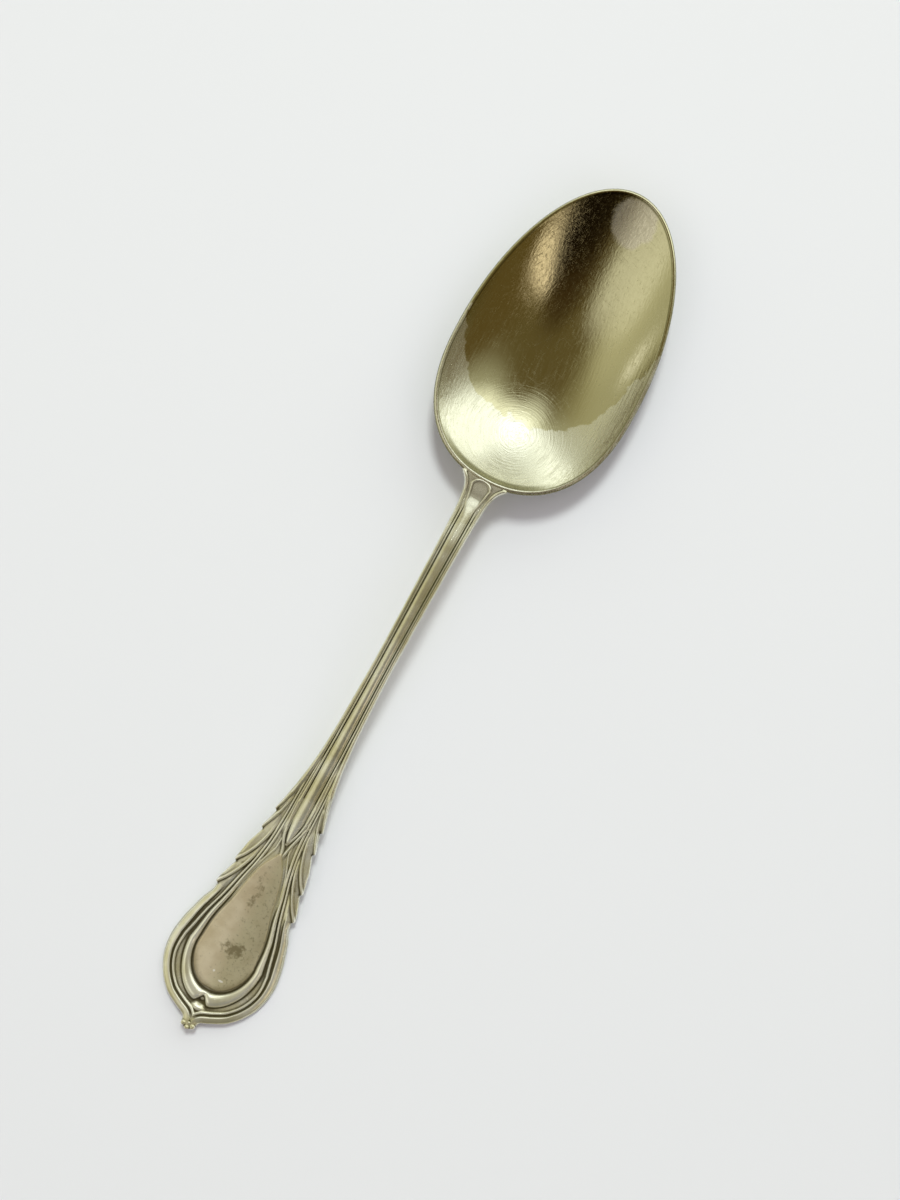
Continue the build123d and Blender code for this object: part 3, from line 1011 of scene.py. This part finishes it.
# %% The bowl's polished finish
def bowl_finish():
    """Worn to the yellow metal, with the plate left at the heel and rim; grime and painted shade
    at the rim, and a painted reflection.
    """
    material, sheet, shader = new_material("bowl_plate")
    where, across, along = object_place(sheet)
    cloud = sheet.noise(where, 70.0, detail=5.0)
    hair = scratches(sheet, where, (0.0, 0.35, 1.3, 2.6), length=14.0, scale=2600.0, share=0.57)
    # spoon-shaped rubbing: arcs about a point near the heel, straighter further out
    from_x, from_y = across - 0.001, along - 0.046
    radius = (from_x * from_x + from_y * from_y).maths("SQRT")
    bearing = from_y.maths("ARCTAN2", from_x)
    rubbed = sheet.add("ShaderNodeCombineXYZ", None, {0: radius, 1: bearing * 0.0006})
    arcs = sheet.noise(rubbed, 2600.0)
    lines = sheet.noise(sheet.mapped(where, (1.0, 22.0, 1.0), rotation=0.06), 2300.0)
    near = 1.0 - radius.ramp(0.011, 0.017)
    brush = (arcs - 0.5) * near + (lines - 0.5) * (1.0 - near)
    # worn through in a rounded square that widens to the tip; beyond it, a pale spot is a painted
    # reflection
    wobble = sheet.noise(where, 190.0, detail=5.0, roughness=0.6, distortion=0.8) - 0.5
    widening = 0.0172 + (along - 0.055) * 0.27
    worn_x = (across + 0.0018).maths("ABSOLUTE") / widening
    worn_y = (0.0685 - along).maths("MAXIMUM", 0.0) * (1 / 0.0195)
    worn_reach = (worn_x**3.0 + worn_y**3.0) + wobble * 0.7
    worn = 1.0 - worn_reach.ramp(0.95, 1.02)
    reflection_x, reflection_y = across - 0.0015, along - 0.0992
    reflection_reach = (reflection_x * reflection_x + reflection_y * reflection_y).maths("SQRT") + wobble * 0.003
    reflection_spot = 1.0 - reflection_reach.ramp(0.0044, 0.0056)
    # grime and painted shade from the mesh: rim corner, outer side and back
    grime_and_shade = (hollow_of_surface(sheet) + (cloud - 0.5) * 0.2).ramp(0.1, 0.9)
    tint = sheet.mix(worn * 0.8 + cloud * 0.15, silver, nickel)
    # the pale spot is a painted reflection
    tint = sheet.mix(reflection_spot * 0.6, tint, colour(0.9, 0.86, 0.8))
    tint = sheet.mix(grime_and_shade * 0.92, tint, colour(0.17, 0.16, 0.06))
    rough = 0.12 + cloud * 0.07 + hair * 0.1 + brush * (0.6 - worn * 0.3)
    rough = rough + (1.0 - worn) * 0.08 + reflection_spot * 0.12
    film = 1.0 - (1.0 - worn) * 0.08 - reflection_spot * 0.1
    relief = hair * 0.15 + brush * (2.2 - worn * 0.9) + cloud
    feed(sheet, shader, tint, film, rough, relief, 0.5, 0.00004)
    return material


bowl_metal = bowl_finish()
plate_metal = handle_finish()
panel_metal = panel_finish()

# %% [markdown]
# ## Finish, body and nodes
#
# The four pieces stand for the CAD model's seven nodes and ride on its one body. The stem
# and the handle end were plated and worn together, so they share one material.

# %% Finish, body and nodes of each piece
pieces = [
    (bowl_shell, bowl_metal, "bowl_metal", ["bowl"]),
    (reeded_stem, plate_metal, "handle_metal", ["stem", "neck"]),
    (handle_end, plate_metal, "handle_metal", ["handle_plate", "leaf_spray", "end_pip"]),
    (name_panel, panel_metal, "panel_metal", ["name_panel"]),
]
for piece, material, slot_name, nodes in pieces:
    piece.data.materials.append(material)
    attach(piece, "root")
    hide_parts(*nodes)

# %% [markdown]
# ## Floor, camera and light
#
# The spoon lies on its back on a pale table, and its shadow sets it down there. One large
# face is enough for a table that fills the view from above.

# %% Floor
reach = 3.0
corners = [(-reach, -reach, 0), (reach, -reach, 0), (reach, reach, 0), (-reach, reach, 0)]
floor_mesh = bpy.data.meshes.new("floor")
floor_mesh.from_pydata(corners, [], [(0, 1, 2, 3)])
floor = new_object("floor", floor_mesh)
floor_material, _, floor_shader = new_material("pale_table")
matt_paint = {"Metallic": 0.0, "Base Color": colour(0.745, 0.775, 0.845), "Roughness": 0.7}
for key, value in matt_paint.items():
    floor_shader.inputs[key].default_value = value
floor.data.materials.append(floor_material)

# %% [markdown]
# A Track To constraint could aim the camera, but the spoon lies aslant to it. So its matrix
# is worked out from `away` and `right`, the viewer's own directions on the table.

# %% Camera
lean = math.radians(28.67)
away = Vector((-math.sin(lean), math.cos(lean), 0))
right = Vector((math.cos(lean), math.sin(lean), 0))
up = Vector((0, 0, 1))
aim = Vector((0.0057, 0.0063, 0))
camera_place = aim + Vector((0.0175, -0.0544, 0.9984)).normalized() * 0.392
look = (aim - camera_place).normalized()
image_up = (away - look * away.dot(look)).normalized()
camera_data = bpy.data.cameras.new("camera")
camera_data.sensor_fit = "VERTICAL"
camera_data.sensor_height, camera_data.lens = 36.0, 52.0
camera_data.clip_start, camera_data.clip_end = 0.01, 20.0
camera = new_object("camera", camera_data)
camera_turn = Matrix((look.cross(image_up), image_up, -look)).transposed()
camera.matrix_world = Matrix.Translation(camera_place) @ camera_turn.to_4x4()
bpy.context.scene.camera = camera
bpy.context.scene.view_settings.view_transform = "Standard"

# %% [markdown]
# ## Light
#
# A soft lamp beyond the bowl's tip casts the shadow and a broad one overhead fills it. The
# metal doesn't mirror them, since they would show as squares. A way into the room is an
# azimuth from the window side, turning to the right, and a tilt from straight up.


# %% Directions and lights
def way(azimuth, tilt):
    """Unit vector from an azimuth and a tilt in degrees."""
    a, t = math.radians(azimuth), math.radians(tilt)
    return (away * math.cos(a) + right * math.sin(a)) * math.sin(t) + up * math.cos(t)


def soft_light(name, direction, distance, size, power, tint):
    """A square area light that faces the spoon."""
    data = bpy.data.lights.new(name, "AREA")
    data.shape = "SQUARE"
    data.size = size
    data.energy = power
    data.color = tint
    light = new_object(name, data)
    light.location = direction * distance
    light.rotation_euler = (-light.location).to_track_quat("-Z", "Y").to_euler()
    light.visible_glossy = False


soft_light("window_light", way(9, 24), 1.5, 0.27, 11.2, (1.0, 1.03, 0.93))
soft_light("ceiling_light", way(180, 14), 1.6, 2.6, 12.0, (0.97, 0.92, 1.1))

# %% [markdown]
# ## The room
#
# Polished metal shows nothing but its surroundings. They could be built as walls, but the
# world's shader is quicker to change: every part of the room is a soft round patch, or a
# streak of several. A slow noise bends the directions, as old metal bends what it mirrors.


# %% The room that the metal mirrors
world = bpy.data.worlds.new("room")
bpy.context.scene.world = world
world.use_nodes = True
world.node_tree.nodes.clear()
room = Sheet(world.node_tree)


def vector(operation, *inputs, output=0):
    """A Vector Math node on the room's sheet."""
    settings = {"operation": operation}
    return room.add("ShaderNodeVectorMath", settings, dict(enumerate(inputs)), output)


straight = room.add("ShaderNodeTexCoord", output=0)
ripple = {"Vector": straight, "Scale": 3.0, "Detail": 3.0}
ripple = room.add("ShaderNodeTexNoise", None, ripple, output=1)
direction = vector("MULTIPLY_ADD", ripple, (0.1,) * 3, straight)
direction = vector("NORMALIZE", vector("ADD", direction, (-0.05,) * 3))


def patch(azimuth, tilt, inner, outer):
    """1 within inner degrees of a way, fading to 0 at outer degrees."""
    dot = vector("DOT_PRODUCT", direction, tuple(way(azimuth, tilt)), output=1)
    return dot.ramp(math.cos(math.radians(outer)), math.cos(math.radians(inner)))


def streak(*patches):
    """The brightest of several patches, for a long or bent shape."""
    total = patch(*patches[0])
    for values in patches[1:]:
        total = total.maths("MAXIMUM", patch(*values))
    return total


doorway = streak((249, 34, 0, 20), (262, 41, 0, 19), (274, 47, 0, 14))
viewer = streak((148, 58, 3, 15), (163, 44, 6, 20), (180, 42, 4, 22))
lamp = streak(
    (134.5, 59, 0, 4), (136, 54, 0, 6.5), (137.5, 48, 0, 6.5), (139, 42, 0, 5), (140, 37, 0, 4)
)
window = streak(
    (350, 82, 3, 14), (0, 68, 3, 16), (8, 58, 3, 17), (21, 50, 2, 21), (38, 50, 3, 22),
    (56, 57, 5, 22), (62, 68, 6, 22), (60, 84, 6, 20), (42, 73, 2, 13),
)
# each part covers those before it: how much it shows, and its light
room_parts = [
    # a pale wall on the left with a bright doorway
    (patch(300, 90, 20, 75), (0.44, 0.4, 0.22)),
    (patch(290, 72, 0, 40), (0.46, 0.43, 0.27)),
    (patch(285, 48, 0, 24) * 0.7, (0.6, 0.56, 0.36)),
    (doorway * 0.8, (0.88, 0.84, 0.66)),
    (patch(300, 73, 0, 7), (1.1, 1.05, 0.9)),
    # the dark viewer who leans over the handle, and a lamp beside them
    (patch(170, 26, 0, 22) * 0.85, (0.03, 0.012, 0.002)),
    (viewer, (0.006, 0.003, 0.001)),
    (patch(118, 75, 10, 40), (0.12, 0.08, 0.022)),
    (lamp, (1.2, 0.98, 0.7)),
    # the window, the walls it lights, its brightest pane and a greyer one
    (patch(68, 58, 0, 34), (0.42, 0.4, 0.27)),
    (patch(15, 85, 30, 60), (0.5, 0.49, 0.36)),
    (patch(14, 35, 0, 17) * 0.75, (0.85, 0.85, 0.7)),
    (window, (1.34, 1.35, 1.16)),
    (patch(24, 50, 0, 15), (1.75, 1.8, 1.75)),
    (patch(8, 67, 0, 13) * 0.6, (0.62, 0.64, 0.5)),
    # a camera ray that misses the table sees plain pale light
    (room.add("ShaderNodeLightPath", output=0), (0.84, 0.83, 0.88)),
]
shown = colour(0.13, 0.095, 0.032)
for share, light in room_parts:
    shown = room.mix(share, shown, colour(*light))
background = room.add("ShaderNodeBackground", None, {"Color": shown, "Strength": 1.0})
output = world.node_tree.nodes.new("ShaderNodeOutputWorld")
world.node_tree.links.new(background.socket, output.inputs[0])
print(len(room_parts), "parts of the room")
